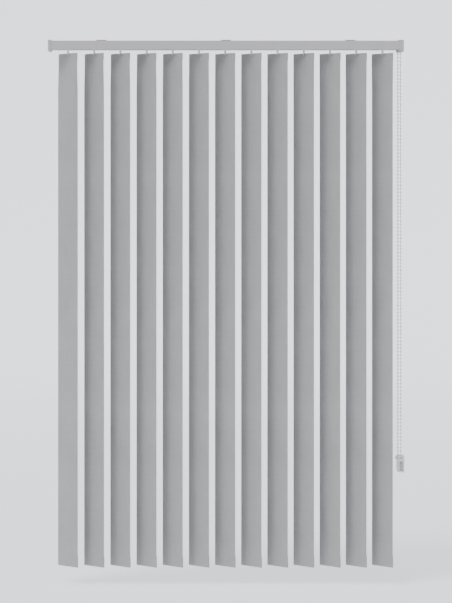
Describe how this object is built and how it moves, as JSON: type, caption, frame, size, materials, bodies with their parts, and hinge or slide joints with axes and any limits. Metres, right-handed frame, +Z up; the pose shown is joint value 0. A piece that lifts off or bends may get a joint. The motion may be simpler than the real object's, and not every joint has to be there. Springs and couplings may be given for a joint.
{
  "type": "vertical blind",
  "caption": "Vertical blind with grey fabric vanes hung from a slim ceiling-fixed headrail, turned by a beaded chain loop held in a wall tidy.",
  "frame": {"origin": "on the ceiling, at the screw hole of the middle fixing bracket, halfway between the outer ones; everything hangs below it", "axes": "+X along the headrail towards the chain, -Y into the room, +Z up"},
  "size_m": [1.086, 0.0663, 1.6066],
  "materials": {
    "rail": "satin silver-grey coating",
    "cap": "smooth moulded grey",
    "nylon": "smooth moulded white",
    "rod": "drawn, bare",
    "bracket": "white coating",
    "fabric": "plain-woven polyester, stiffened",
    "chain": "moulded white beads on cord",
    "tidy": "moulded white"
  },
  "bodies": {
    "rail": {"headrail": "rail", "idle_end_cap": "cap", "control_end_cap": "cap", "top_brackets": "bracket", "chain_tidy": "tidy", "control_chain": "chain", "carrier_13": "nylon"},
    "drive": {"tilt_rod": "rod", "chain_sprocket": "nylon"},
    "runner_01": {"carrier_01": "nylon"},
    "runner_02": {"carrier_02": "nylon"},
    "runner_03": {"carrier_03": "nylon"},
    "runner_04": {"carrier_04": "nylon"},
    "runner_05": {"carrier_05": "nylon"},
    "runner_06": {"carrier_06": "nylon"},
    "runner_07": {"carrier_07": "nylon"},
    "runner_08": {"carrier_08": "nylon"},
    "runner_09": {"carrier_09": "nylon"},
    "runner_10": {"carrier_10": "nylon"},
    "runner_11": {"carrier_11": "nylon"},
    "runner_12": {"carrier_12": "nylon"},
    "hanging_01": {"hook_stem_01": "nylon", "vane_01": "fabric"},
    "gear_01": {"worm_01": "nylon"},
    "hanging_02": {"hook_stem_02": "nylon", "vane_02": "fabric"},
    "gear_02": {"worm_02": "nylon"},
    "hanging_03": {"hook_stem_03": "nylon", "vane_03": "fabric"},
    "gear_03": {"worm_03": "nylon"},
    "hanging_04": {"hook_stem_04": "nylon", "vane_04": "fabric"},
    "gear_04": {"worm_04": "nylon"},
    "hanging_05": {"hook_stem_05": "nylon", "vane_05": "fabric"},
    "gear_05": {"worm_05": "nylon"},
    "hanging_06": {"hook_stem_06": "nylon", "vane_06": "fabric"},
    "gear_06": {"worm_06": "nylon"},
    "hanging_07": {"hook_stem_07": "nylon", "vane_07": "fabric"},
    "gear_07": {"worm_07": "nylon"},
    "hanging_08": {"hook_stem_08": "nylon", "vane_08": "fabric"},
    "gear_08": {"worm_08": "nylon"},
    "hanging_09": {"hook_stem_09": "nylon", "vane_09": "fabric"},
    "gear_09": {"worm_09": "nylon"},
    "hanging_10": {"hook_stem_10": "nylon", "vane_10": "fabric"},
    "gear_10": {"worm_10": "nylon"},
    "hanging_11": {"hook_stem_11": "nylon", "vane_11": "fabric"},
    "gear_11": {"worm_11": "nylon"},
    "hanging_12": {"hook_stem_12": "nylon", "vane_12": "fabric"},
    "gear_12": {"worm_12": "nylon"},
    "hanging_13": {"hook_stem_13": "nylon", "vane_13": "fabric"},
    "gear_13": {"worm_13": "nylon"}
  },
  "joints": [
    {"name": "traverse_01", "type": "slide", "parent": "rail", "child": "runner_01", "axis": [1, 0, 0], "range_m": [0, 0.744]},
    {"name": "traverse_02", "type": "slide", "parent": "rail", "child": "runner_02", "axis": [1, 0, 0], "range_m": [0, 0.682]},
    {"name": "traverse_03", "type": "slide", "parent": "rail", "child": "runner_03", "axis": [1, 0, 0], "range_m": [0, 0.62]},
    {"name": "traverse_04", "type": "slide", "parent": "rail", "child": "runner_04", "axis": [1, 0, 0], "range_m": [0, 0.558]},
    {"name": "traverse_05", "type": "slide", "parent": "rail", "child": "runner_05", "axis": [1, 0, 0], "range_m": [0, 0.496]},
    {"name": "traverse_06", "type": "slide", "parent": "rail", "child": "runner_06", "axis": [1, 0, 0], "range_m": [0, 0.434]},
    {"name": "traverse_07", "type": "slide", "parent": "rail", "child": "runner_07", "axis": [1, 0, 0], "range_m": [0, 0.372]},
    {"name": "traverse_08", "type": "slide", "parent": "rail", "child": "runner_08", "axis": [1, 0, 0], "range_m": [0, 0.31]},
    {"name": "traverse_09", "type": "slide", "parent": "rail", "child": "runner_09", "axis": [1, 0, 0], "range_m": [0, 0.248]},
    {"name": "traverse_10", "type": "slide", "parent": "rail", "child": "runner_10", "axis": [1, 0, 0], "range_m": [0, 0.186]},
    {"name": "traverse_11", "type": "slide", "parent": "rail", "child": "runner_11", "axis": [1, 0, 0], "range_m": [0, 0.124]},
    {"name": "traverse_12", "type": "slide", "parent": "rail", "child": "runner_12", "axis": [1, 0, 0], "range_m": [0, 0.062]},
    {"name": "tilt_01", "type": "hinge", "parent": "runner_01", "child": "hanging_01", "pos_m": [-0.482, 0, -0.03], "axis": [0, 0, 1], "range_deg": [-123, 37]},
    {"name": "tilt_02", "type": "hinge", "parent": "runner_02", "child": "hanging_02", "pos_m": [-0.402, 0, -0.03], "axis": [0, 0, 1], "range_deg": [-123, 37]},
    {"name": "tilt_03", "type": "hinge", "parent": "runner_03", "child": "hanging_03", "pos_m": [-0.322, 0, -0.03], "axis": [0, 0, 1], "range_deg": [-123, 37]},
    {"name": "tilt_04", "type": "hinge", "parent": "runner_04", "child": "hanging_04", "pos_m": [-0.242, 0, -0.03], "axis": [0, 0, 1], "range_deg": [-123, 37]},
    {"name": "tilt_05", "type": "hinge", "parent": "runner_05", "child": "hanging_05", "pos_m": [-0.162, 0, -0.03], "axis": [0, 0, 1], "range_deg": [-123, 37]},
    {"name": "tilt_06", "type": "hinge", "parent": "runner_06", "child": "hanging_06", "pos_m": [-0.082, 0, -0.03], "axis": [0, 0, 1], "range_deg": [-123, 37]},
    {"name": "tilt_07", "type": "hinge", "parent": "runner_07", "child": "hanging_07", "pos_m": [-0.002, 0, -0.03], "axis": [0, 0, 1], "range_deg": [-123, 37]},
    {"name": "tilt_08", "type": "hinge", "parent": "runner_08", "child": "hanging_08", "pos_m": [0.078, 0, -0.03], "axis": [0, 0, 1], "range_deg": [-123, 37]},
    {"name": "tilt_09", "type": "hinge", "parent": "runner_09", "child": "hanging_09", "pos_m": [0.158, 0, -0.03], "axis": [0, 0, 1], "range_deg": [-123, 37]},
    {"name": "tilt_10", "type": "hinge", "parent": "runner_10", "child": "hanging_10", "pos_m": [0.238, 0, -0.03], "axis": [0, 0, 1], "range_deg": [-123, 37]},
    {"name": "tilt_11", "type": "hinge", "parent": "runner_11", "child": "hanging_11", "pos_m": [0.318, 0, -0.03], "axis": [0, 0, 1], "range_deg": [-123, 37]},
    {"name": "tilt_12", "type": "hinge", "parent": "runner_12", "child": "hanging_12", "pos_m": [0.398, 0, -0.03], "axis": [0, 0, 1], "range_deg": [-123, 37]},
    {"name": "tilt_13", "type": "hinge", "parent": "rail", "child": "hanging_13", "pos_m": [0.478, 0, -0.03], "axis": [0, 0, 1], "range_deg": [-123, 37]},
    {"name": "worm_turn_01", "type": "hinge", "parent": "runner_01", "child": "gear_01", "pos_m": [-0.482, 0.009, -0.0179], "axis": [1, 0, 0], "range_deg": [-738, 222]},
    {"name": "worm_turn_02", "type": "hinge", "parent": "runner_02", "child": "gear_02", "pos_m": [-0.402, 0.009, -0.0179], "axis": [1, 0, 0], "range_deg": [-738, 222]},
    {"name": "worm_turn_03", "type": "hinge", "parent": "runner_03", "child": "gear_03", "pos_m": [-0.322, 0.009, -0.0179], "axis": [1, 0, 0], "range_deg": [-738, 222]},
    {"name": "worm_turn_04", "type": "hinge", "parent": "runner_04", "child": "gear_04", "pos_m": [-0.242, 0.009, -0.0179], "axis": [1, 0, 0], "range_deg": [-738, 222]},
    {"name": "worm_turn_05", "type": "hinge", "parent": "runner_05", "child": "gear_05", "pos_m": [-0.162, 0.009, -0.0179], "axis": [1, 0, 0], "range_deg": [-738, 222]},
    {"name": "worm_turn_06", "type": "hinge", "parent": "runner_06", "child": "gear_06", "pos_m": [-0.082, 0.009, -0.0179], "axis": [1, 0, 0], "range_deg": [-738, 222]},
    {"name": "worm_turn_07", "type": "hinge", "parent": "runner_07", "child": "gear_07", "pos_m": [-0.002, 0.009, -0.0179], "axis": [1, 0, 0], "range_deg": [-738, 222]},
    {"name": "worm_turn_08", "type": "hinge", "parent": "runner_08", "child": "gear_08", "pos_m": [0.078, 0.009, -0.0179], "axis": [1, 0, 0], "range_deg": [-738, 222]},
    {"name": "worm_turn_09", "type": "hinge", "parent": "runner_09", "child": "gear_09", "pos_m": [0.158, 0.009, -0.0179], "axis": [1, 0, 0], "range_deg": [-738, 222]},
    {"name": "worm_turn_10", "type": "hinge", "parent": "runner_10", "child": "gear_10", "pos_m": [0.238, 0.009, -0.0179], "axis": [1, 0, 0], "range_deg": [-738, 222]},
    {"name": "worm_turn_11", "type": "hinge", "parent": "runner_11", "child": "gear_11", "pos_m": [0.318, 0.009, -0.0179], "axis": [1, 0, 0], "range_deg": [-738, 222]},
    {"name": "worm_turn_12", "type": "hinge", "parent": "runner_12", "child": "gear_12", "pos_m": [0.398, 0.009, -0.0179], "axis": [1, 0, 0], "range_deg": [-738, 222]},
    {"name": "worm_turn_13", "type": "hinge", "parent": "rail", "child": "gear_13", "pos_m": [0.478, 0.009, -0.0179], "axis": [1, 0, 0], "range_deg": [-738, 222]},
    {"name": "rod_turn", "type": "hinge", "parent": "rail", "child": "drive", "pos_m": [0.526, 0.009, -0.0179], "axis": [1, 0, 0], "range_deg": [-738, 222]}
  ],
  "couplings": [
    {"joint": "traverse_02", "follows": "traverse_01", "ratio": 0.91667},
    {"joint": "traverse_03", "follows": "traverse_01", "ratio": 0.83333},
    {"joint": "traverse_04", "follows": "traverse_01", "ratio": 0.75},
    {"joint": "traverse_05", "follows": "traverse_01", "ratio": 0.66667},
    {"joint": "traverse_06", "follows": "traverse_01", "ratio": 0.58333},
    {"joint": "traverse_07", "follows": "traverse_01", "ratio": 0.5},
    {"joint": "traverse_08", "follows": "traverse_01", "ratio": 0.41667},
    {"joint": "traverse_09", "follows": "traverse_01", "ratio": 0.33333},
    {"joint": "traverse_10", "follows": "traverse_01", "ratio": 0.25},
    {"joint": "traverse_11", "follows": "traverse_01", "ratio": 0.16667},
    {"joint": "traverse_12", "follows": "traverse_01", "ratio": 0.083333},
    {"joint": "tilt_02", "follows": "tilt_01", "ratio": 1},
    {"joint": "tilt_03", "follows": "tilt_01", "ratio": 1},
    {"joint": "tilt_04", "follows": "tilt_01", "ratio": 1},
    {"joint": "tilt_05", "follows": "tilt_01", "ratio": 1},
    {"joint": "tilt_06", "follows": "tilt_01", "ratio": 1},
    {"joint": "tilt_07", "follows": "tilt_01", "ratio": 1},
    {"joint": "tilt_08", "follows": "tilt_01", "ratio": 1},
    {"joint": "tilt_09", "follows": "tilt_01", "ratio": 1},
    {"joint": "tilt_10", "follows": "tilt_01", "ratio": 1},
    {"joint": "tilt_11", "follows": "tilt_01", "ratio": 1},
    {"joint": "tilt_12", "follows": "tilt_01", "ratio": 1},
    {"joint": "tilt_13", "follows": "tilt_01", "ratio": 1},
    {"joint": "worm_turn_01", "follows": "tilt_01", "ratio": 6},
    {"joint": "worm_turn_02", "follows": "tilt_01", "ratio": 6},
    {"joint": "worm_turn_03", "follows": "tilt_01", "ratio": 6},
    {"joint": "worm_turn_04", "follows": "tilt_01", "ratio": 6},
    {"joint": "worm_turn_05", "follows": "tilt_01", "ratio": 6},
    {"joint": "worm_turn_06", "follows": "tilt_01", "ratio": 6},
    {"joint": "worm_turn_07", "follows": "tilt_01", "ratio": 6},
    {"joint": "worm_turn_08", "follows": "tilt_01", "ratio": 6},
    {"joint": "worm_turn_09", "follows": "tilt_01", "ratio": 6},
    {"joint": "worm_turn_10", "follows": "tilt_01", "ratio": 6},
    {"joint": "worm_turn_11", "follows": "tilt_01", "ratio": 6},
    {"joint": "worm_turn_12", "follows": "tilt_01", "ratio": 6},
    {"joint": "worm_turn_13", "follows": "tilt_01", "ratio": 6},
    {"joint": "rod_turn", "follows": "tilt_01", "ratio": 6}
  ]
}
